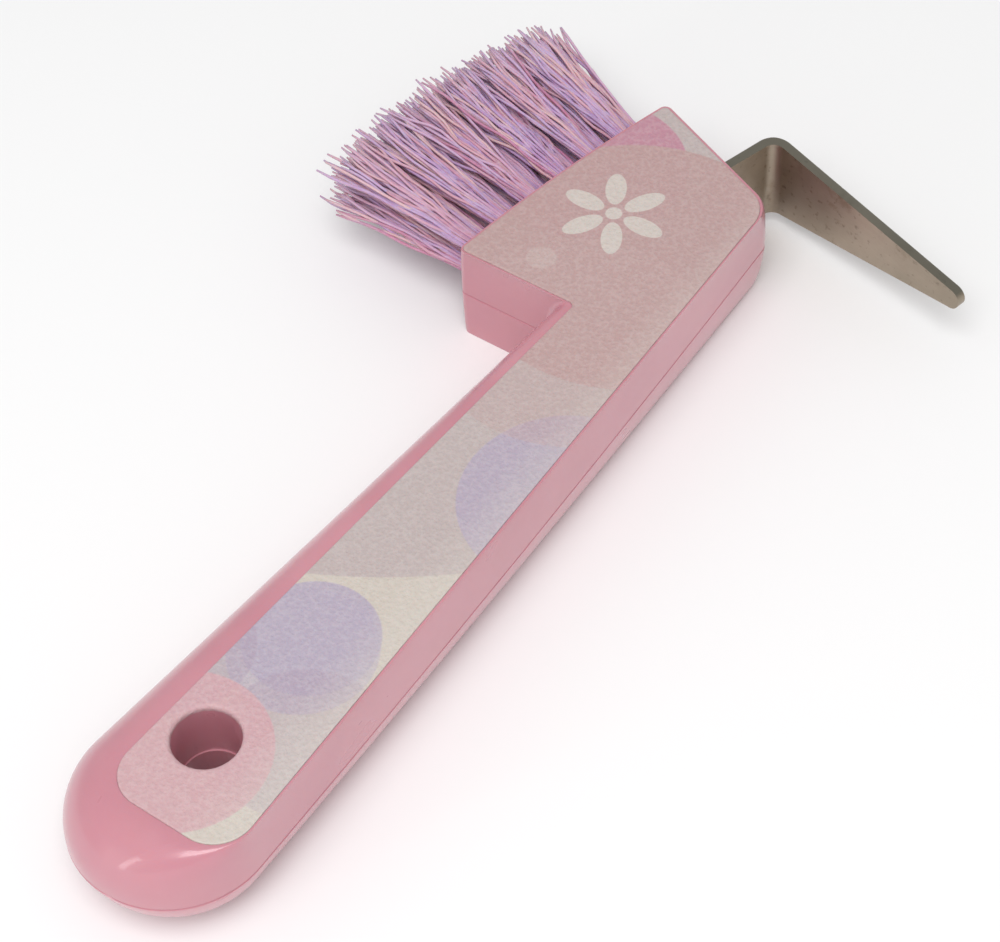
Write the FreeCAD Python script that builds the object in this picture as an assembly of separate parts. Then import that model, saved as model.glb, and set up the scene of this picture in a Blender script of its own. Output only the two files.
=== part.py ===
"""Hoof pick with a brush: a two-shell plastic grip, a printed pad, a steel pick and tufts of bristle.

The origin is on the axis of the hang hole, at the back face. +Y runs along the grip from the hang
hole to the head, +X points to the side that the pick's arm reaches to, and +Z points out of the
padded face. The shells meet at the seam plane. All sizes are in millimetres.
"""
import FreeCAD, Part
import math
import os
from FreeCAD import Vector

os.makedirs("parts", exist_ok=True)

# Grip and head, as the outline at the seam
SEAM_Z = 9.2
TOP_Z = 19.2
BUTT_Y = -22.6
BUTT_LEFT_X = -17.0
BUTT_RIGHT_X = 14.8
BUTT_FLAT = 0.6
NECK_X = -8.7
NECK_Y = 94.4
BRUSH_NEAR_X = -26.75
BRUSH_NEAR_Y = 94.3
BRUSH_FAR_X = -17.8
BRUSH_FAR_Y = 141.8
HEAD_RIGHT_X = 8.9
HEAD_FAR_Y = 130.7
HEAD_CORNER_RADIUS = 3.0
SMALL_CORNER_RADIUS = 1.2
RIGHT_BULGE = 0.7
BRUSH_BULGE = 0.8

# How far each side leans in from the seam, up to the padded face and down to the back face
TOP_INSET = {"butt": 8.6, "left_butt": 9.1, "left_neck": 4.3, "inner": -0.4,
             "brush": 0.6, "far": 1.7, "right_head": -0.8, "right_butt": 0.2}
BACK_INSET = {"butt": 9.8, "left_butt": 7.3, "left_neck": 0.4, "inner": 0.2,
              "brush": 0.2, "far": 1.4, "right_head": 1.8, "right_butt": 8.8}
TOP_BUTT_RADIUS = 6.2
TOP_HEAD_RADIUS = 6.5
BACK_BUTT_RADIUS = 6.0
BACK_LEAN = 0.17
SEAM_BEVEL = 0.22
SIDE_STEPS = 8

# Hang hole: the upper bore is a little wider than the lower one
HOLE_RADIUS = 4.7
HOLE_STEP = 0.25
HOLE_LIP = 0.4

# Printed pad
PAD_THICKNESS = 0.9
PAD_PROUD = 0.25
PAD_MARGIN = 0.3
PAD_CLEARANCE = 0.03
PAD_EDGE_RADIUS = 0.22
PAD_MOUTH_RADIUS = 0.7

# Steel pick: a strip on edge, bent once and tapered along its arm
STRIP_THICKNESS = 1.6
STRIP_WIDTH = 15.7
STRIP_CENTRE_Z = 10.2
BEND_X = 1.2
BEND_Y = 144.55
BEND_INNER_RADIUS = 2.0
STEM_ANGLE = 16.0
ARM_ANGLE = -12.4
ARM_LENGTH = 41.2
TANG_LENGTH = 38.0
TIP_WIDTH = 3.9
STRIP_CLEARANCE = 0.1

# Cross pins that hold the tang, lying in the seam
PIN_RADIUS = 1.2
PIN_LENGTH = 8.0
PIN_PLACES = (20.0, 31.0)
PIN_CLEARANCE = 0.05

# Bristle tufts and the staples that anchor them
TUFTS_PER_ROW = 6
ROW_DEPTHS = (2.9, 5.5, 8.1)
FIRST_TUFT = 4.4
TUFT_PITCH = 6.8
ROW_STAGGER = 3.4
TUFT_HOLE_RADIUS = 1.6
TUFT_HOLE_DEPTH = 8.6
TUFT_CLEARANCE = 0.1
ROOT_FLATNESS = 0.97
TUFT_LENGTH = 33.3
TUFT_CROWN = 2.3
TUFT_TIP_HALF_WIDTH = 3.8
TUFT_TIP_HALF_HEIGHT = 1.55
TUFT_FAN = 2.4
TUFT_TURN = 4.0
ROW_FAN = 1.2
STAPLE_HEIGHT = 1.2
STAPLE_THICKNESS = 0.5
STAPLE_CLEARANCE = 0.17

# Hollow of the grip and the pegs that line the shells up
WALL = 3.2
HOLLOW_START_Y = 16.0
HOLLOW_END_Y = 84.0
PEG_RADIUS = 1.8
PEG_HEIGHT = 3.0
PEG_CLEARANCE = 0.1
PEG_PLACES = ((0.0, 10.5), (0.0, 90.5), (3.0, 112.0))


def butt_radius():
    """The radius of the butt's two corners that leaves BUTT_FLAT straight between them."""
    left_lean = math.atan2(NECK_X - BUTT_LEFT_X, NECK_Y - BUTT_Y)
    right_lean = math.atan2(BUTT_RIGHT_X - HEAD_RIGHT_X, HEAD_FAR_Y - BUTT_Y)
    reach = math.tan(math.pi / 4 + left_lean / 2) + math.tan(math.pi / 4 + right_lean / 2)
    return (BUTT_RIGHT_X - BUTT_LEFT_X - BUTT_FLAT) / reach


def seam_corners():
    """The six corners of the seam outline, counter-clockwise from the left of the butt.

    Each holds x, y, the corner's radius and how far the side after it bulges out.
    """
    return [
        (BUTT_LEFT_X, BUTT_Y, butt_radius(), 0.0),
        (BUTT_RIGHT_X, BUTT_Y, butt_radius(), RIGHT_BULGE),
        (HEAD_RIGHT_X, HEAD_FAR_Y, HEAD_CORNER_RADIUS, 0.0),
        (BRUSH_FAR_X, BRUSH_FAR_Y, SMALL_CORNER_RADIUS, BRUSH_BULGE),
        (BRUSH_NEAR_X, BRUSH_NEAR_Y, SMALL_CORNER_RADIUS, 0.0),
        (NECK_X, NECK_Y, SMALL_CORNER_RADIUS, 0.0),
    ]


def inset_corners(inset, end_radius, head_radius, right_bulge):
    """The same six corners, moved in by each side's own inset."""
    moves = [
        (inset["left_butt"], inset["butt"], end_radius, 0.0),
        (-inset["right_butt"], inset["butt"], end_radius, right_bulge),
        (-inset["right_head"], -inset["far"], head_radius, 0.0),
        (inset["brush"], -inset["far"], SMALL_CORNER_RADIUS, BRUSH_BULGE),
        (inset["brush"], inset["inner"], SMALL_CORNER_RADIUS, 0.0),
        (inset["left_neck"], inset["inner"], SMALL_CORNER_RADIUS / 2, 0.0),
    ]
    corners = []
    for (x, y, _, _), (dx, dy, radius, bulge) in zip(seam_corners(), moves):
        corners.append((x + dx, y + dy, radius, bulge))
    return corners


def top_corners():
    """The corners of the padded face's outline."""
    return inset_corners(TOP_INSET, TOP_BUTT_RADIUS, TOP_HEAD_RADIUS, 0.0)


def blend(corners_a, corners_b, share):
    """Corners part of the way from one outline to another."""
    mixed = []
    for a, b in zip(corners_a, corners_b):
        mixed.append(tuple(p + (q - p) * share for p, q in zip(a, b)))
    return mixed


def side_edge(start, end, bulge):
    """One side of an outline: straight, or an arc that bulges out by the amount given."""
    if bulge < 0.001:
        return Part.LineSegment(start, end).toShape()
    along = end - start
    outward = Vector(along.y, -along.x, 0).normalize()
    return Part.Arc(start, start + along * 0.5 + outward * bulge, end).toShape()


def rounded_wire(corners, z):
    """A closed level wire through rounded corners."""
    count = len(corners)
    points = [Vector(x, y, z) for x, y, _, _ in corners]
    arcs = []
    for i, (_, _, radius, _) in enumerate(corners):
        here = points[i]
        to_last = (points[i - 1] - here).normalize()
        to_next = (points[(i + 1) % count] - here).normalize()
        half_angle = to_last.getAngle(to_next) / 2
        reach = radius / math.tan(half_angle)
        middle = (to_last + to_next).normalize()
        dip = radius / math.sin(half_angle) - radius
        arcs.append([here + to_last * reach, here + middle * dip, here + to_next * reach])
    edges = []
    for i, (_, _, _, bulge) in enumerate(corners):
        start, middle, end = arcs[i]
        edges.append(Part.Arc(start, middle, end).toShape())
        edges.append(side_edge(end, arcs[(i + 1) % count][0], bulge))
    return Part.Wire(edges)


def side_loft(far_corners, far_z, lean):
    """A shell's outer form, from the seam bevel to a face.

    Its sides are quarter ellipses, with a share of straight slope given by lean.
    """
    seam = seam_corners()
    direction = 1 if far_z > SEAM_Z else -1
    start_z = SEAM_Z + direction * SEAM_BEVEL
    wires = []
    for step in range(SIDE_STEPS + 1):
        angle = math.pi / 2 * step / SIDE_STEPS
        rise = math.sin(angle)
        share = lean * rise + (1 - lean) * (1 - math.cos(angle))
        wires.append(rounded_wire(blend(seam, far_corners, share), start_z + (far_z - start_z) * rise))
    form = Part.makeLoft(wires, True, False)
    bevel = dict.fromkeys(TOP_INSET, SEAM_BEVEL)
    edge_corners = inset_corners(bevel, butt_radius() - SEAM_BEVEL, HEAD_CORNER_RADIUS, RIGHT_BULGE)
    lip = Part.makeLoft([rounded_wire(edge_corners, SEAM_Z), wires[0]], True, True)
    return form.fuse(lip)


def between_heights(shape, low, high):
    """The part of a shape that lies between two heights."""
    box = shape.BoundBox
    slab = Part.makeBox(box.XLength + 2, box.YLength + 2, high - low,
                        Vector(box.XMin - 1, box.YMin - 1, low))
    return shape.common(slab)


def hole(radius):
    """A cylinder on the hang hole's axis, longer than the grip is thick."""
    return Part.makeCylinder(radius, 60, Vector(0, 0, -10))


def back_lip_cutter():
    """The ring that rounds the hang hole's mouth at the back face."""
    tube = Part.makeCircle(HOLE_LIP, Vector(HOLE_RADIUS + HOLE_LIP, 0, HOLE_LIP), Vector(0, 1, 0))
    round_edge = Part.Face(Part.Wire(tube)).revolve(Vector(0, 0, 0), Vector(0, 0, 1), 360)
    return Part.makeCylinder(HOLE_RADIUS + HOLE_LIP, HOLE_LIP).cut(round_edge)


def top_outline(margin):
    """The padded face's outline, moved in by a margin, as a face in the XY plane."""
    return Part.Face(rounded_wire(top_corners(), 0.0)).makeOffset2D(-margin)


def on_pad_floor(face, thickness):
    """A flat outline raised to the floor of the pad's recess and given a thickness."""
    return face.extrude(Vector(0, 0, thickness)).translated(Vector(0, 0, TOP_Z + PAD_PROUD - PAD_THICKNESS))


def print_pad():
    """The printed pad: a thin plate sunk in the padded face, with its rounded edge a little proud."""
    bore = HOLE_RADIUS + HOLE_STEP
    plate = on_pad_floor(top_outline(PAD_MARGIN + PAD_CLEARANCE), PAD_THICKNESS)
    rim = [edge for edge in plate.Edges if edge.BoundBox.ZMin > TOP_Z]
    plate = plate.makeFillet(PAD_EDGE_RADIUS, rim).cut(hole(bore))
    mouth = [edge for edge in plate.Edges
             if edge.BoundBox.ZMin > TOP_Z and max(abs(edge.BoundBox.YMin), edge.BoundBox.YMax) < bore + 0.1]
    return plate.makeFillet(PAD_MOUTH_RADIUS, mouth)


def stem_direction():
    """Which way the stem runs, from the tang to the bend."""
    angle = math.radians(90 - STEM_ANGLE)
    return Vector(math.cos(angle), math.sin(angle), 0)


def arm_direction():
    """Which way the arm runs, from the bend to the tip."""
    angle = math.radians(ARM_ANGLE)
    return Vector(math.cos(angle), math.sin(angle), 0)


def strip_plan(thickness, tang_length, arm_length):
    """The bent strip seen from above, as a face of one thickness, rounded at the bend."""
    bend = Vector(BEND_X, BEND_Y, 0)
    stem = stem_direction()
    arm = arm_direction()
    turn = stem.getAngle(arm)
    mid_radius = BEND_INNER_RADIUS + STRIP_THICKNESS / 2
    reach = mid_radius * math.tan(turn / 2)
    to_centre = Vector(stem.y, -stem.x, 0)
    arc_start = bend - stem * reach
    centre = arc_start + to_centre * mid_radius
    out_of_bend = (bend - centre).normalize()
    arm_side = Vector(arm.y, -arm.x, 0)

    def rail(offset):
        """Points of one side of the strip, offset away from the bend's centre."""
        return (bend - stem * tang_length - to_centre * offset,
                arc_start - to_centre * offset,
                centre + out_of_bend * (mid_radius + offset),
                bend + arm * reach - arm_side * offset,
                bend + arm * arm_length - arm_side * offset)

    outer = rail(thickness / 2)
    inner = rail(-thickness / 2)
    edges = [
        Part.LineSegment(outer[0], outer[1]).toShape(),
        Part.Arc(outer[1], outer[2], outer[3]).toShape(),
        Part.LineSegment(outer[3], outer[4]).toShape(),
        Part.LineSegment(outer[4], inner[4]).toShape(),
        Part.LineSegment(inner[4], inner[3]).toShape(),
        Part.Arc(inner[3], inner[2], inner[1]).toShape(),
        Part.LineSegment(inner[1], inner[0]).toShape(),
        Part.LineSegment(inner[0], outer[0]).toShape(),
    ]
    return Part.Face(Part.Wire(edges))


def arm_profile():
    """The tapered arm and full-width stem seen square to the arm, as a solid wide enough for both."""
    half = STRIP_WIDTH / 2
    tip = TIP_WIDTH / 2
    lead = 25.0
    tip_start = ARM_LENGTH - tip
    points = [Vector(-lead, 0, -half), Vector(0, 0, -half), Vector(tip_start, 0, -tip),
              Vector(ARM_LENGTH, 0, 0), Vector(tip_start, 0, tip), Vector(0, 0, half), Vector(-lead, 0, half)]
    edges = [
        Part.LineSegment(points[0], points[1]).toShape(),
        Part.LineSegment(points[1], points[2]).toShape(),
        Part.Arc(points[2], points[3], points[4]).toShape(),
        Part.LineSegment(points[4], points[5]).toShape(),
        Part.LineSegment(points[5], points[6]).toShape(),
        Part.LineSegment(points[6], points[0]).toShape(),
    ]
    depth = TANG_LENGTH + 2 * STRIP_WIDTH
    solid = Part.Face(Part.Wire(edges)).extrude(Vector(0, 2 * depth, 0))
    solid.translate(Vector(0, -depth, 0))
    solid.rotate(Vector(0, 0, 0), Vector(0, 0, 1), ARM_ANGLE)
    solid.translate(Vector(BEND_X, BEND_Y, STRIP_CENTRE_Z))
    return solid


def strip(thickness, width, tang_length):
    """The whole strip before its taper is cut."""
    plan = strip_plan(thickness, tang_length, ARM_LENGTH)
    plan.translate(Vector(0, 0, STRIP_CENTRE_Z - width / 2))
    return plan.extrude(Vector(0, 0, width))


def pin_axis(place):
    """Centre of a cross pin, that far back from the bend, in the seam."""
    centre = Vector(BEND_X, BEND_Y, SEAM_Z) - stem_direction() * place
    return centre


def cross_pin(place, radius, length):
    """A cylinder square to the tang's flat side."""
    stem = stem_direction()
    across = Vector(stem.y, -stem.x, 0)
    start = pin_axis(place) - across * (length / 2)
    return Part.makeCylinder(radius, length, start, across)


def hook():
    """The steel pick, with its tang drilled for the cross pins."""
    steel = strip(STRIP_THICKNESS, STRIP_WIDTH, TANG_LENGTH).common(arm_profile())
    for place in PIN_PLACES:
        steel = steel.cut(cross_pin(place, PIN_RADIUS + PIN_CLEARANCE, PIN_LENGTH))
    return steel


def tang_slot():
    """The room that both shells leave for the tang."""
    clear = STRIP_CLEARANCE
    return strip(STRIP_THICKNESS + 2 * clear, STRIP_WIDTH + 2 * clear, TANG_LENGTH + clear)


def tuft_frames():
    """Each tuft's name, the centre of its hole's mouth, the way it points and its length outside."""
    near = Vector(BRUSH_NEAR_X, BRUSH_NEAR_Y, 0)
    far = Vector(BRUSH_FAR_X, BRUSH_FAR_Y, 0)
    along = (far - near).normalize()
    middle = (TUFTS_PER_ROW - 1) / 2
    row_middle = (len(ROW_DEPTHS) - 1) / 2
    frames = []
    for row, depth in enumerate(ROW_DEPTHS):
        stagger = ROW_STAGGER if row % 2 else 0.0
        for column in range(TUFTS_PER_ROW):
            place = near + along * (FIRST_TUFT + stagger + TUFT_PITCH * column)
            mouth = Vector(place.x, place.y, TOP_Z - depth)
            swing = math.radians(TUFT_TURN + TUFT_FAN * (column - middle))
            lean = math.radians(ROW_FAN * (row_middle - row))
            out = Vector(-along.y, along.x, 0) * math.cos(swing) + along * math.sin(swing)
            out = out * math.cos(lean) + Vector(0, 0, math.sin(lean))
            length = TUFT_LENGTH - TUFT_CROWN * ((column - middle) / middle) ** 2
            frames.append((f"tuft_row{row + 1}_{column + 1}", mouth, out, length))
    return frames


def tuft_hole(mouth, out):
    """The blind hole for one tuft, cut well past the brush face."""
    back = mouth - out * (TUFT_HOLE_DEPTH + BRUSH_BULGE)
    return Part.makeCylinder(TUFT_HOLE_RADIUS, TUFT_HOLE_DEPTH + 6, back, out)


def tuft_ring(centre, out, half_width, half_height):
    """An ellipse square to a tuft, wide along the brush face."""
    side = out.cross(Vector(0, 0, 1)).normalize()
    up = side.cross(out).normalize()
    ellipse = Part.Ellipse(centre + side * half_width, centre + up * half_height, centre)
    return Part.Wire(ellipse.toShape())


def tuft(mouth, out, length):
    """One tuft: a nearly round root in its hole that spreads into a flat fan."""
    root_width = TUFT_HOLE_RADIUS - TUFT_CLEARANCE
    staple_room = STAPLE_THICKNESS + 2 * TUFT_CLEARANCE
    root_depth = TUFT_HOLE_DEPTH - staple_room - BRUSH_BULGE
    rings = [
        tuft_ring(mouth - out * root_depth, out, root_width, root_width * ROOT_FLATNESS),
        tuft_ring(mouth + out * BRUSH_BULGE * 2, out, root_width, root_width * ROOT_FLATNESS),
        tuft_ring(mouth + out * length, out, TUFT_TIP_HALF_WIDTH, TUFT_TIP_HALF_HEIGHT),
    ]
    return Part.makeLoft(rings, True, True)


def staple(mouth, out):
    """The small flat staple that pins a folded tuft to the bottom of its hole."""
    middle_depth = TUFT_HOLE_DEPTH - TUFT_CLEARANCE - STAPLE_THICKNESS / 2
    centre = mouth - out * (middle_depth - BRUSH_BULGE)
    half_width = math.sqrt((TUFT_HOLE_RADIUS - STAPLE_CLEARANCE) ** 2 - (STAPLE_HEIGHT / 2) ** 2)
    plate = Part.makeBox(STAPLE_THICKNESS, 2 * half_width, STAPLE_HEIGHT,
                         Vector(-STAPLE_THICKNESS / 2, -half_width, -STAPLE_HEIGHT / 2))
    plate.rotate(Vector(0, 0, 0), Vector(0, 0, 1), math.degrees(math.atan2(out.y, out.x)))
    plate.translate(centre)
    return plate


def grip_hollow(low, high):
    """The hollow inside one shell's part of the grip, with a wall of even thickness round it."""
    face = top_outline(WALL)
    stretch = Part.makeBox(200, HOLLOW_END_Y - HOLLOW_START_Y, 60, Vector(-100, HOLLOW_START_Y, -10))
    return face.extrude(Vector(0, 0, high - low)).translated(Vector(0, 0, low)).common(stretch)


def pegs(radius, height):
    """The pegs that stand up from the lower shell's seam face."""
    return [Part.makeCylinder(radius, height, Vector(x, y, SEAM_Z)) for x, y in PEG_PLACES]


def upper_shell():
    """The padded half of the body, with the tuft holes, the pad's recess and the upper bore."""
    shell = side_loft(top_corners(), TOP_Z, 0.0)
    shell = shell.cut(on_pad_floor(top_outline(PAD_MARGIN), 2 * PAD_THICKNESS))
    shell = shell.cut(hole(HOLE_RADIUS + HOLE_STEP))
    shell = shell.cut(tang_slot())
    shell = shell.cut(grip_hollow(SEAM_Z, TOP_Z - WALL))
    for place in PIN_PLACES:
        shell = shell.cut(cross_pin(place, PIN_RADIUS + PIN_CLEARANCE, PIN_LENGTH + 2 * PIN_CLEARANCE))
    for peg in pegs(PEG_RADIUS + PEG_CLEARANCE, PEG_HEIGHT + PEG_CLEARANCE):
        shell = shell.cut(peg)
    for _, mouth, out, _ in tuft_frames():
        shell = shell.cut(tuft_hole(mouth, out))
    return shell


def lower_shell():
    """The back half of the body, with the lower bore and the pegs."""
    back_corners = inset_corners(BACK_INSET, BACK_BUTT_RADIUS, HEAD_CORNER_RADIUS, RIGHT_BULGE)
    shell = side_loft(back_corners, 0.0, BACK_LEAN)
    shell = between_heights(shell, 0.0, SEAM_Z)
    shell = shell.cut(hole(HOLE_RADIUS)).cut(back_lip_cutter())
    shell = shell.cut(tang_slot())
    shell = shell.cut(grip_hollow(WALL, SEAM_Z))
    for place in PIN_PLACES:
        shell = shell.cut(cross_pin(place, PIN_RADIUS + PIN_CLEARANCE, PIN_LENGTH + 2 * PIN_CLEARANCE))
    return shell.fuse(pegs(PEG_RADIUS, PEG_HEIGHT))


def build():
    """Every piece of the hoof pick, by name."""
    frames = tuft_frames()
    pieces = {
        "upper_shell": upper_shell(),
        "lower_shell": lower_shell(),
        "print_pad": print_pad(),
        "hook": hook(),
        "tang_pins": Part.Compound([cross_pin(place, PIN_RADIUS, PIN_LENGTH) for place in PIN_PLACES]),
        "tuft_staples": Part.Compound([staple(mouth, out) for _, mouth, out, _ in frames]),
    }
    for name, mouth, out, length in frames:
        pieces[name] = tuft(mouth, out, length)
    return pieces


for name, shape in build().items():
    shape.exportStep(f"parts/{name}.step")
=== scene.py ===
"""Looks of the hoof pick with a brush: camera, studio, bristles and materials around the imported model."""
import bpy
import math
import random
from mathutils import Matrix, Vector


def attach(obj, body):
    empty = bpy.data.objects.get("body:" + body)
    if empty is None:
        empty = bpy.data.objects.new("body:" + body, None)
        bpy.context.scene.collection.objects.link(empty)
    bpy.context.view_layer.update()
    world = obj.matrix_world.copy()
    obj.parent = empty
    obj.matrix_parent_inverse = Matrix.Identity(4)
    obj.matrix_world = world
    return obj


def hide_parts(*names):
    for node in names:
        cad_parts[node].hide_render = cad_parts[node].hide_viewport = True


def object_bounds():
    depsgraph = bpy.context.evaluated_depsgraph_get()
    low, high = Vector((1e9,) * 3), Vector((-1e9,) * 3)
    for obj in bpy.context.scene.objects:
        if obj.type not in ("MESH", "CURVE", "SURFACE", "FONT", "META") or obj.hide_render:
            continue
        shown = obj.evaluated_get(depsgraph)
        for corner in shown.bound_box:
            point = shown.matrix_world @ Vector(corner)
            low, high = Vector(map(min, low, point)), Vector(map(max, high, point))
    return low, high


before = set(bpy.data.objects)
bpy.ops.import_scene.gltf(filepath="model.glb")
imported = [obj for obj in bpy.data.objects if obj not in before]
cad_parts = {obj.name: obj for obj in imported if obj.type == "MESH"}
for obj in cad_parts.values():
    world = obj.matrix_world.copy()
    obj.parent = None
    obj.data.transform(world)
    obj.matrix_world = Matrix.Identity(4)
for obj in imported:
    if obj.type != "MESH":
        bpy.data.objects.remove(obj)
CAD_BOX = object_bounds()
MM = 0.001

# Camera: degrees round, above and about the line of sight; its aim and distance in metres
CAMERA_AZIMUTH = 37.502
CAMERA_ELEVATION = 50.052
CAMERA_ROLL = -2.731
CAMERA_AIM = Vector((1.05, 66.81, 10.0)) * MM
CAMERA_DISTANCE = 404.92 * MM
LENS = 96.77
SENSOR = 36.0
CLIP_NEAR = 0.01
CLIP_FAR = 20

# Studio: each light's offset from what it faces and its size are in metres, its power in watts
SURROUND_STRENGTH = 0.58
FLOOR_SIZE = 6
OVERHEAD_OFFSET = Vector((0.18, -0.38, 0.8))
OVERHEAD_SIZE = (0.6, 0.6)
OVERHEAD_POWER = 5.2
BUTT_INSET = 10 * MM
BUTT_HEIGHT = 12 * MM
WINDOW_OFFSET = Vector((-0.27, -0.68, 0.15))
WINDOW_SIZE = (0.06, 0.45)
WINDOW_POWER = 0.35

# Bristle filaments: their number, thickness and crimp
SEED = 41
FILAMENTS_PER_TUFT = 84
FILAMENT_RADIUS = 0.27 * MM
FILAMENT_TIP_TAPER = 0.6
FILAMENT_SIDES = 5
FILAMENT_STEPS = 16
CRIMP_LENGTH = 15.0 * MM
CRIMP_SIZE = 0.42 * MM
CRIMP_LENGTH_RANGE = (0.85, 1.2)
CRIMP_SIZE_RANGE = (0.35, 1.35)
CRIMP_ONSET = 4

# How a tuft's filaments fill it, stray and fan out: shares of the tuft, and bow and lift in millimetres
END_SHARE = 0.12
SPOT_FILL = 0.93
SPOT_SHAKE = 0.07
ROOT_FILL = 0.9
STRAIGHT_SHARE = 0.2
LENGTH_OFFSET = -0.01
LENGTH_SPREAD = 0.032
FAN_SPREAD = 0.14
HEIGHT_FAN = 1.3
BOW_SPREAD = 0.7
LIFT_SPREAD = 0.6

# Sockets of a colour mix node, which are told apart by number only
MIX_SHARE = 0
MIX_FIRST = 6
MIX_SECOND = 7
MIX_RESULT = 2


def srgb(red, green, blue):
    """A linear colour, worked out from screen values of 0 to 255."""
    def linear(value):
        share = value / 255
        return share / 12.92 if share <= 0.04045 else ((share + 0.055) / 1.055) ** 2.4
    return (linear(red), linear(green), linear(blue), 1.0)


# ---------------------------------------------------------------- studio

def make_camera():
    """The camera, rolled a little about its own line of sight."""
    azimuth = math.radians(CAMERA_AZIMUTH)
    elevation = math.radians(CAMERA_ELEVATION)
    roll = math.radians(CAMERA_ROLL)
    forward = Vector((-math.sin(azimuth) * math.cos(elevation),
                      math.cos(azimuth) * math.cos(elevation), -math.sin(elevation)))
    level = Vector((math.cos(azimuth), math.sin(azimuth), 0))
    upright = level.cross(forward)
    right = level * math.cos(roll) + upright * math.sin(roll)
    up = upright * math.cos(roll) - level * math.sin(roll)
    data = bpy.data.cameras.new("camera")
    data.lens = LENS
    data.sensor_width = SENSOR
    data.clip_start = CLIP_NEAR
    data.clip_end = CLIP_FAR
    camera = bpy.data.objects.new("camera", data)
    turn = Matrix((right, up, -forward)).transposed().to_4x4()
    camera.matrix_world = Matrix.Translation(CAMERA_AIM - forward * CAMERA_DISTANCE) @ turn
    bpy.context.scene.collection.objects.link(camera)
    bpy.context.scene.camera = camera


def add_light(name, offset, target, size, power):
    """A soft rectangular light at an offset from its target, and facing it."""
    data = bpy.data.lights.new(name, "AREA")
    data.shape = "RECTANGLE"
    data.size, data.size_y = size
    data.energy = power
    light = bpy.data.objects.new(name, data)
    light.location = target + offset
    light.rotation_euler = (target - light.location).to_track_quat("-Z", "Y").to_euler()
    bpy.context.scene.collection.objects.link(light)


def make_studio():
    """A pale floor, a pale surround and soft lights."""
    scene = bpy.context.scene
    scene.view_settings.view_transform = "Standard"
    world = bpy.data.worlds.new("studio")
    world.use_nodes = True
    back = world.node_tree.nodes["Background"]
    back.inputs["Color"].default_value = (1, 1, 1, 1)
    back.inputs["Strength"].default_value = SURROUND_STRENGTH
    scene.world = world
    low, high = CAD_BOX
    centre = (low + high) / 2
    butt = Vector((0, low.y + BUTT_INSET, BUTT_HEIGHT))
    add_light("overhead", OVERHEAD_OFFSET, centre, OVERHEAD_SIZE, OVERHEAD_POWER)
    add_light("window", WINDOW_OFFSET, butt, WINDOW_SIZE, WINDOW_POWER)
    bpy.ops.mesh.primitive_plane_add(size=FLOOR_SIZE, location=(0, 0, low.z))
    floor = bpy.context.object
    floor.name = "floor"
    graph = Graph("floor_paint")
    graph.shader.inputs["Base Color"].default_value = srgb(246, 246, 246)
    graph.shader.inputs["Roughness"].default_value = 0.9
    floor.data.materials.append(graph.material)


# ---------------------------------------------------------------- node helpers

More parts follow.
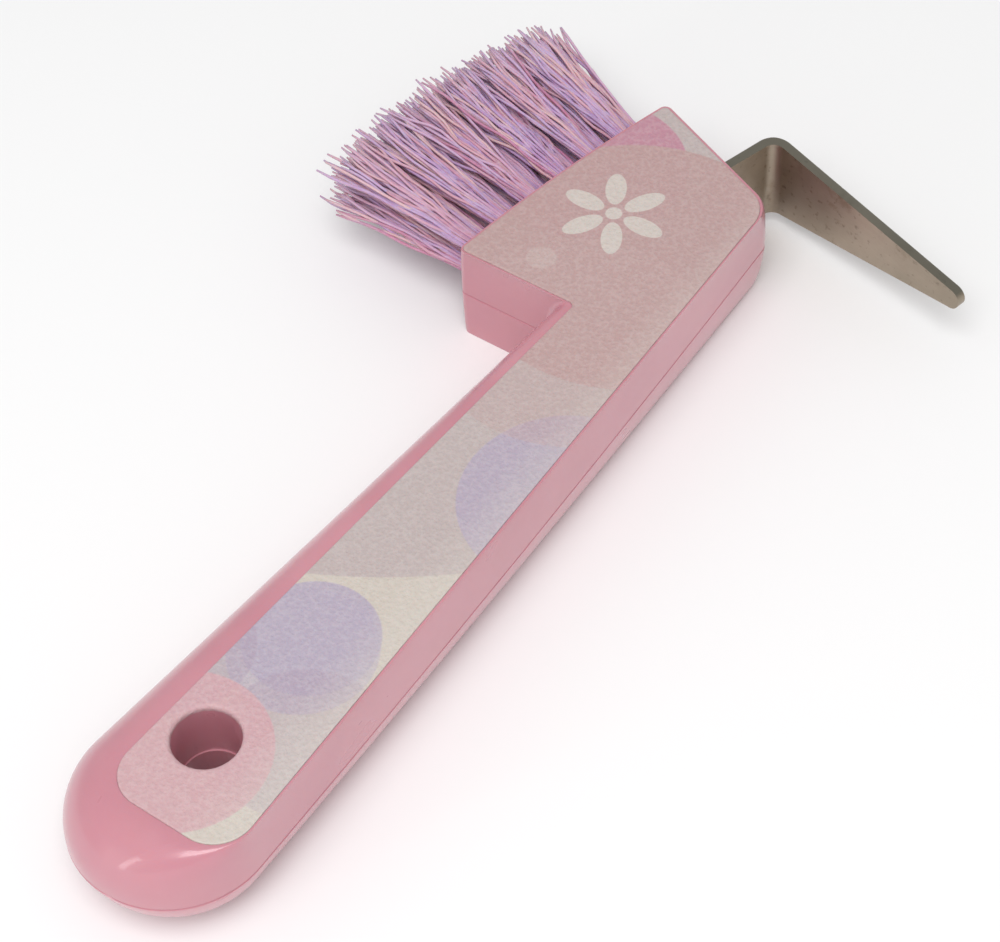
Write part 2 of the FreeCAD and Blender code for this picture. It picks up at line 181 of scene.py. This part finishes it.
class Graph:
    """One material and short calls for building its nodes."""

    def __init__(self, name):
        self.material = bpy.data.materials.new(name)
        self.material.use_nodes = True
        self.tree = self.material.node_tree
        self.shader = self.tree.nodes["Principled BSDF"]

    def node(self, kind, **settings):
        made = self.tree.nodes.new(kind)
        for key, value in settings.items():
            setattr(made, key, value)
        return made

    def put(self, socket, value):
        """Feeds a socket with another socket or a plain value."""
        if isinstance(value, bpy.types.NodeSocket):
            self.tree.links.new(value, socket)
        else:
            socket.default_value = value

    def place(self):
        """The spot on the surface in the object's own frame, in metres."""
        return self.node("ShaderNodeTexCoord").outputs["Object"]

    def facing(self):
        """The surface's own direction in the object's frame."""
        return self.node("ShaderNodeTexCoord").outputs["Normal"]

    def split(self, vector):
        made = self.node("ShaderNodeSeparateXYZ")
        self.put(made.inputs[0], vector)
        return made.outputs

    def attribute(self, name):
        return self.node("ShaderNodeAttribute", attribute_name=name).outputs["Fac"]

    def math(self, operation, first, second=0.0):
        made = self.node("ShaderNodeMath", operation=operation)
        self.put(made.inputs[0], first)
        self.put(made.inputs[1], second)
        return made.outputs[0]

    def sum_of_squares(self, first, second):
        return self.math("ADD", self.math("MULTIPLY", first, first), self.math("MULTIPLY", second, second))

    def noise(self, vector, scale, detail=3.0, roughness=0.5, distortion=0.0):
        made = self.node("ShaderNodeTexNoise")
        self.put(made.inputs["Vector"], vector)
        made.inputs["Scale"].default_value = scale
        made.inputs["Detail"].default_value = detail
        made.inputs["Roughness"].default_value = roughness
        made.inputs["Distortion"].default_value = distortion
        return made.outputs["Fac"]

    def cells(self, vector, scale):
        made = self.node("ShaderNodeTexVoronoi", feature="SMOOTH_F1")
        self.put(made.inputs["Vector"], vector)
        made.inputs["Scale"].default_value = scale
        return made.outputs["Distance"]

    def stretch(self, vector, scale, turn=0.0):
        made = self.node("ShaderNodeMapping")
        self.put(made.inputs["Vector"], vector)
        made.inputs["Scale"].default_value = scale
        made.inputs["Rotation"].default_value = (0, 0, turn)
        return made.outputs["Vector"]

    def remap(self, value, low, high, to_low=0.0, to_high=1.0):
        made = self.node("ShaderNodeMapRange")
        self.put(made.inputs["Value"], value)
        made.inputs["From Min"].default_value = low
        made.inputs["From Max"].default_value = high
        made.inputs["To Min"].default_value = to_low
        made.inputs["To Max"].default_value = to_high
        return made.outputs["Result"]

    def mix(self, share, first, second):
        """The first colour where the share is 0, and the second where it is 1."""
        made = self.node("ShaderNodeMix", data_type="RGBA")
        self.put(made.inputs[MIX_SHARE], share)
        self.put(made.inputs[MIX_FIRST], first)
        self.put(made.inputs[MIX_SECOND], second)
        return made.outputs[MIX_RESULT]

    def ramp(self, value, stops):
        """A colour ramp through (place, colour) stops."""
        made = self.node("ShaderNodeValToRGB")
        elements = made.color_ramp.elements
        for _ in range(len(stops) - 2):
            elements.new(0.5)
        for element, (place, colour) in zip(elements, stops):
            element.position = place
            element.color = colour
        self.put(made.inputs[0], value)
        return made.outputs["Color"]

    def bump(self, height, strength, distance, normal=None):
        made = self.node("ShaderNodeBump")
        self.put(made.inputs["Height"], height)
        made.inputs["Strength"].default_value = strength
        made.inputs["Distance"].default_value = distance
        if normal is not None:
            self.put(made.inputs["Normal"], normal)
        return made.outputs["Normal"]

    def finish(self, colour, roughness, normal, **fixed):
        """Feeds the shader and returns the material. Fixed values go on the shader's own sockets."""
        self.put(self.shader.inputs["Base Color"], colour)
        self.put(self.shader.inputs["Roughness"], roughness)
        self.put(self.shader.inputs["Normal"], normal)
        for name, value in fixed.items():
            self.shader.inputs[name.replace("_", " ")].default_value = value
        return self.material


# ---------------------------------------------------------------- materials

def pink_plastic():
    """Satin-gloss moulded plastic with faint flow marks, small stains and handling scuffs."""
    graph = Graph("pink_plastic")
    place = graph.place()
    clouds = graph.noise(place, scale=45.0, detail=4.0)
    colour = graph.mix(graph.remap(clouds, 0.35, 0.65), srgb(196, 130, 143), srgb(204, 140, 152))
    blots = graph.noise(place, scale=80.0, detail=2.0)
    colour = graph.mix(graph.remap(blots, 0.4, 0.8, 0.0, 0.25), colour, srgb(190, 124, 128))
    scuffs = graph.noise(graph.stretch(place, (160.0, 60.0, 160.0), 0.3), scale=1.0, detail=2.0)
    roughness = graph.remap(scuffs, 0.3, 0.7, 0.27, 0.34)
    ripple = graph.noise(place, scale=90.0, detail=2.0)
    normal = graph.bump(ripple, strength=0.25, distance=0.00012)
    skin = graph.noise(place, scale=1800.0, detail=2.0)
    normal = graph.bump(skin, strength=0.12, distance=0.00002, normal=normal)
    return graph.finish(colour, roughness, normal, Subsurface_Weight=0.1, Subsurface_Scale=0.002,
                        Coat_Weight=0.6, Coat_Roughness=0.08)


# Discs printed on the pad, in millimetres from the hang hole's axis: centre, radius, colour, strength
PRINTED_DISCS = (
    ((-43.7, 105.5), 84.6, (186, 172, 170), 1.0),
    ((-19.4, 120.5), 16.2, (188, 132, 150), 0.9),
    ((-1.5, 106.6), 26.6, (184, 152, 150), 0.95),
    ((17.4, 61.5), 16.4, (176, 163, 181), 0.9),
    ((0.0, 88.0), 21.5, (188, 158, 156), 0.4),
    ((2.0, 18.8), 10.8, (182, 170, 184), 0.8),
    ((1.6, 21.2), 9.9, (176, 164, 182), 0.9),
    ((11.2, 6.5), 12.1, (168, 148, 166), 0.4),
    ((-13.0, 9.5), 11.2, (170, 154, 172), 0.6),
    ((-1.8, -3.8), 13.2, (202, 160, 166), 0.9),
    ((-14.0, 99.6), 2.4, (194, 172, 168), 0.6),
)
FLOWER_CENTRE = (-10.0, 114.0)
PETALS = 6
PETAL_REACH = 5.5
PETAL_HALF_LENGTH = 3.5
PETAL_HALF_WIDTH = 1.7
PETAL_EDGE = 0.06
FLOWER_HEART = 1.35
HEART_EDGE = 0.1
DISC_EDGE = 0.12


def disc(graph, x, y, centre, radius):
    """1 inside a printed disc and 0 outside, with x and y in millimetres."""
    across = graph.math("SUBTRACT", x, centre[0])
    along = graph.math("SUBTRACT", y, centre[1])
    reach = graph.math("SQRT", graph.sum_of_squares(across, along))
    return graph.remap(reach, radius - DISC_EDGE, radius + DISC_EDGE, 1.0, 0.0)


def flower(graph, x, y):
    """A plain six-petalled flower: 1 on a petal or the heart, 0 elsewhere."""
    across = graph.math("SUBTRACT", x, FLOWER_CENTRE[0])
    along = graph.math("SUBTRACT", y, FLOWER_CENTRE[1])
    angle = graph.math("ARCTAN2", along, across)
    folded = graph.math("PINGPONG", angle, math.pi / PETALS)
    reach = graph.math("SQRT", graph.sum_of_squares(across, along))
    outward = graph.math("MULTIPLY", reach, graph.math("COSINE", folded))
    sideways = graph.math("MULTIPLY", reach, graph.math("SINE", folded))
    long_part = graph.math("DIVIDE", graph.math("SUBTRACT", outward, PETAL_REACH), PETAL_HALF_LENGTH)
    wide_part = graph.math("DIVIDE", sideways, PETAL_HALF_WIDTH)
    square = graph.sum_of_squares(long_part, wide_part)
    petals = graph.remap(square, 1 - PETAL_EDGE, 1 + PETAL_EDGE, 1.0, 0.0)
    heart = graph.remap(reach, FLOWER_HEART - HEART_EDGE, FLOWER_HEART + HEART_EDGE, 1.0, 0.0)
    return graph.math("MAXIMUM", petals, heart)


def printed_pad():
    """Pebble-grained film printed with large pale discs and a small flower."""
    graph = Graph("printed_film")
    place = graph.place()
    x, y, _ = graph.split(graph.stretch(place, (1 / MM, 1 / MM, 1 / MM)))
    colour = srgb(200, 190, 180)
    for centre, radius, tint, strength in PRINTED_DISCS:
        inside = disc(graph, x, y, centre, radius)
        colour = graph.mix(graph.math("MULTIPLY", inside, strength), colour, srgb(*tint))
    colour = graph.mix(graph.remap(x, 6.0, 14.0, 0.0, 0.4), colour, srgb(208, 200, 192))
    colour = graph.mix(graph.math("MULTIPLY", flower(graph, x, y), 0.85), colour, srgb(206, 198, 190))
    grain = graph.cells(place, scale=1500.0)
    fine = graph.noise(place, scale=2600.0, detail=3.0)
    speckle = graph.math("MULTIPLY", graph.remap(grain, 0.2, 0.6), graph.remap(fine, 0.3, 0.7))
    colour = graph.mix(graph.remap(speckle, 0.1, 0.6, 0.0, 0.10), colour, srgb(240, 232, 228))
    roughness = graph.remap(fine, 0.3, 0.7, 0.5, 0.68)
    normal = graph.bump(graph.math("ADD", grain, fine), strength=0.7, distance=0.00016)
    return graph.finish(colour, roughness, normal, Subsurface_Weight=0.05, Subsurface_Scale=0.001)


def worn_steel():
    """Tumbled strip steel, warm grey with faint brown stains, and duller sheared edges."""
    graph = Graph("worn_steel")
    place = graph.place()
    clouds = graph.noise(place, scale=60.0, detail=5.0, roughness=0.6)
    colour = graph.mix(graph.remap(clouds, 0.35, 0.65), srgb(158, 146, 130), srgb(180, 167, 151))
    stains = graph.noise(place, scale=110.0, detail=6.0, roughness=0.65, distortion=0.6)
    colour = graph.mix(graph.remap(stains, 0.58, 0.72, 0.0, 0.6), colour, srgb(122, 102, 80))
    pits = graph.noise(place, scale=900.0, detail=3.0)
    colour = graph.mix(graph.remap(pits, 0.62, 0.72, 0.0, 0.4), colour, srgb(90, 78, 66))
    level = graph.math("ABSOLUTE", graph.split(graph.facing())[2])
    edge = graph.remap(level, 0.6, 0.8)
    colour = graph.mix(graph.math("MULTIPLY", edge, 0.75), colour, srgb(112, 112, 102))
    lines = graph.noise(graph.stretch(place, (500.0, 500.0, 4200.0)), scale=1.0, detail=3.0)
    patches = graph.remap(clouds, 0.3, 0.7, 0.3, 0.42)
    roughness = graph.math("ADD", patches, graph.remap(lines, 0.3, 0.7, 0.0, 0.1))
    normal = graph.bump(lines, strength=0.25, distance=0.00003)
    normal = graph.bump(pits, strength=0.3, distance=0.00003, normal=normal)
    return graph.finish(colour, roughness, normal, Metallic=0.95)


def plain_metal(name, tint):
    """A small hidden metal piece: drawn wire or a turned pin."""
    graph = Graph(name)
    place = graph.place()
    lines = graph.noise(graph.stretch(place, (3000.0, 3000.0, 600.0)), scale=1.0, detail=3.0)
    darker = [0.82 * value for value in tint]
    colour = graph.mix(graph.remap(lines, 0.3, 0.7), srgb(*tint), srgb(*darker))
    return graph.finish(colour, graph.remap(lines, 0.3, 0.7, 0.28, 0.45),
                        graph.bump(lines, strength=0.3, distance=0.00003), Metallic=1.0)


def bristle_plastic():
    """Crimped filament in mixed lilac, pink and peach, with painted shade darkening it towards the root."""
    graph = Graph("bristle_filament")
    tone = graph.attribute("tone")
    reach = graph.attribute("reach")
    colour = graph.ramp(tone, [
        (0.0, srgb(182, 146, 190)), (0.28, srgb(196, 166, 204)), (0.5, srgb(206, 166, 192)),
        (0.68, srgb(210, 160, 178)), (0.85, srgb(220, 182, 184)), (1.0, srgb(192, 126, 160)),
    ])
    # Painted shade: a darker magenta towards the root, where the filaments shade one another
    colour = graph.mix(graph.remap(reach, 0.0, 0.5, 0.45, 0.0), colour, srgb(164, 96, 140))
    colour = graph.mix(graph.remap(reach, 0.7, 1.0, 0.0, 0.35), colour, srgb(208, 188, 202))
    streak = graph.noise(graph.place(), scale=900.0, detail=2.0)
    colour = graph.mix(graph.remap(streak, 0.4, 0.7, 0.0, 0.2), colour, srgb(232, 205, 225))
    roughness = graph.remap(streak, 0.3, 0.7, 0.32, 0.5)
    return graph.finish(colour, roughness, graph.bump(streak, strength=0.2, distance=0.00003),
                        Subsurface_Weight=0.15, Subsurface_Scale=0.001)


# ---------------------------------------------------------------- bristles

def tuft_frame(node):
    """The centre, half width and half height of a tuft's root and of its wider tip, in that order."""
    points = [v.co.copy() for v in node.data.vertices]
    centre = sum(points, Vector()) / len(points)
    far = max(points, key=lambda p: (p - centre).length)
    other = max(points, key=lambda p: (p - far).length)
    axis = (other - far).normalized()
    spans = [(p - far).dot(axis) for p in points]
    length = max(spans)
    first_end = [p for p, span in zip(points, spans) if span <= END_SHARE * length]
    second_end = [p for p, span in zip(points, spans) if span >= (1 - END_SHARE) * length]
    ends = [(sum(chosen, Vector()) / len(chosen), chosen) for chosen in (first_end, second_end)]
    frames = []
    direction = (ends[1][0] - ends[0][0]).normalized()
    side = direction.cross(Vector((0, 0, 1))).normalized()
    for middle, chosen in ends:
        width = max(abs((p - middle).dot(side)) for p in chosen)
        height = max(abs((p - middle).dot(side.cross(direction))) for p in chosen)
        frames.append((middle, width, height))
    frames.sort(key=lambda item: item[1])
    return frames


def packed_spots(count, rng):
    """Spots spread evenly over a unit disc, a little shaken."""
    golden = math.pi * (3 - math.sqrt(5))
    spots = []
    for index in range(count):
        radius = math.sqrt((index + 0.5) / count) * SPOT_FILL
        angle = index * golden
        spots.append((radius * math.cos(angle) + rng.uniform(-SPOT_SHAKE, SPOT_SHAKE),
                      radius * math.sin(angle) + rng.uniform(-SPOT_SHAKE, SPOT_SHAKE)))
    return spots


def tube(points, radii, verts, faces):
    """Adds a thin closed tube along points to a mesh's lists."""
    start = len(verts)
    axis = (points[-1] - points[0]).normalized()
    side = axis.cross(Vector((0, 0, 1))).normalized()
    up = side.cross(axis)
    for point, radius in zip(points, radii):
        for corner in range(FILAMENT_SIDES):
            angle = 2 * math.pi * corner / FILAMENT_SIDES
            verts.append(point + (side * math.cos(angle) + up * math.sin(angle)) * radius)
    rings = len(points)
    for ring in range(rings - 1):
        for corner in range(FILAMENT_SIDES):
            here = start + ring * FILAMENT_SIDES + corner
            beside = start + ring * FILAMENT_SIDES + (corner + 1) % FILAMENT_SIDES
            faces.append((here, beside, beside + FILAMENT_SIDES, here + FILAMENT_SIDES))
    faces.append(tuple(start + corner for corner in reversed(range(FILAMENT_SIDES))))
    last = start + (rings - 1) * FILAMENT_SIDES
    faces.append(tuple(last + corner for corner in range(FILAMENT_SIDES)))


def make_tuft(name, node, material, rng):
    """One tuft of crimped filaments that stands for a plain CAD tuft."""
    (root, root_width, root_height), (tip, tip_width, tip_height) = tuft_frame(node)
    direction = (tip - root).normalized()
    side = direction.cross(Vector((0, 0, 1))).normalized()
    up = side.cross(direction)
    length = (tip - root).length
    near_width = root_width * ROOT_FILL
    near_height = root_height * ROOT_FILL
    verts, faces, tones, reaches = [], [], [], []
    for across, upward in packed_spots(FILAMENTS_PER_TUFT, rng):
        reach_end = 1.0 + rng.gauss(LENGTH_OFFSET, LENGTH_SPREAD)
        bow = rng.gauss(0, BOW_SPREAD) * MM
        lift = rng.gauss(0, LIFT_SPREAD) * MM
        spread = rng.gauss(1.0, FAN_SPREAD)
        phase = rng.uniform(0, 2 * math.pi)
        crimp = CRIMP_SIZE * rng.uniform(*CRIMP_SIZE_RANGE)
        wave = CRIMP_LENGTH * rng.uniform(*CRIMP_LENGTH_RANGE)
        plane = rng.uniform(0, math.pi)
        tone = rng.random()
        points, radii = [], []
        for step in range(FILAMENT_STEPS + 1):
            share = step / FILAMENT_STEPS * reach_end
            ease = max(0.0, share - STRAIGHT_SHARE) / (1 - STRAIGHT_SHARE)
            width = near_width + (tip_width * spread - near_width) * ease
            height = near_height + (tip_height * HEIGHT_FAN * spread - near_height) * ease
            turn = 2 * math.pi * share * length / wave + phase
            swing = math.sin(turn) * crimp * min(1.0, ease * CRIMP_ONSET)
            bend = 2 * ease * ease
            offset_side = across * width + bow * bend + swing * math.cos(plane)
            offset_up = upward * height + lift * bend + swing * math.sin(plane)
            points.append(root + direction * (share * length) + side * offset_side + up * offset_up)
            radii.append(FILAMENT_RADIUS * (1.0 if step < FILAMENT_STEPS else FILAMENT_TIP_TAPER))
            tones += [tone] * FILAMENT_SIDES
            reaches += [share] * FILAMENT_SIDES
        tube(points, radii, verts, faces)
    mesh = bpy.data.meshes.new(name)
    mesh.from_pydata(verts, [], faces)
    for label, values in (("tone", tones), ("reach", reaches)):
        attribute = mesh.attributes.new(label, "FLOAT", "POINT")
        attribute.data.foreach_set("value", values)
    mesh.polygons.foreach_set("use_smooth", [len(face) == 4 for face in faces])
    mesh.materials.append(material)
    piece = bpy.data.objects.new(name, mesh)
    bpy.context.scene.collection.objects.link(piece)
    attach(piece, "root")
    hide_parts(node.name)


def paint(names, material):
    """Gives CAD nodes their material."""
    for name in names:
        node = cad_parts[name]
        node.data.materials.clear()
        node.data.materials.append(material)


def main():
    """Builds the whole scene."""
    make_camera()
    make_studio()
    plastic = pink_plastic()
    paint(("upper_shell", "lower_shell"), plastic)
    paint(("print_pad",), printed_pad())
    paint(("hook",), worn_steel())
    paint(("tang_pins",), plain_metal("pin_steel", (170, 170, 172)))
    paint(("tuft_staples",), plain_metal("staple_wire", (200, 176, 120)))
    filament = bristle_plastic()
    rng = random.Random(SEED)
    for name in sorted(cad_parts):
        if name.startswith("tuft_row"):
            make_tuft(name.replace("tuft", "bristles"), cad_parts[name], filament, rng)


main()
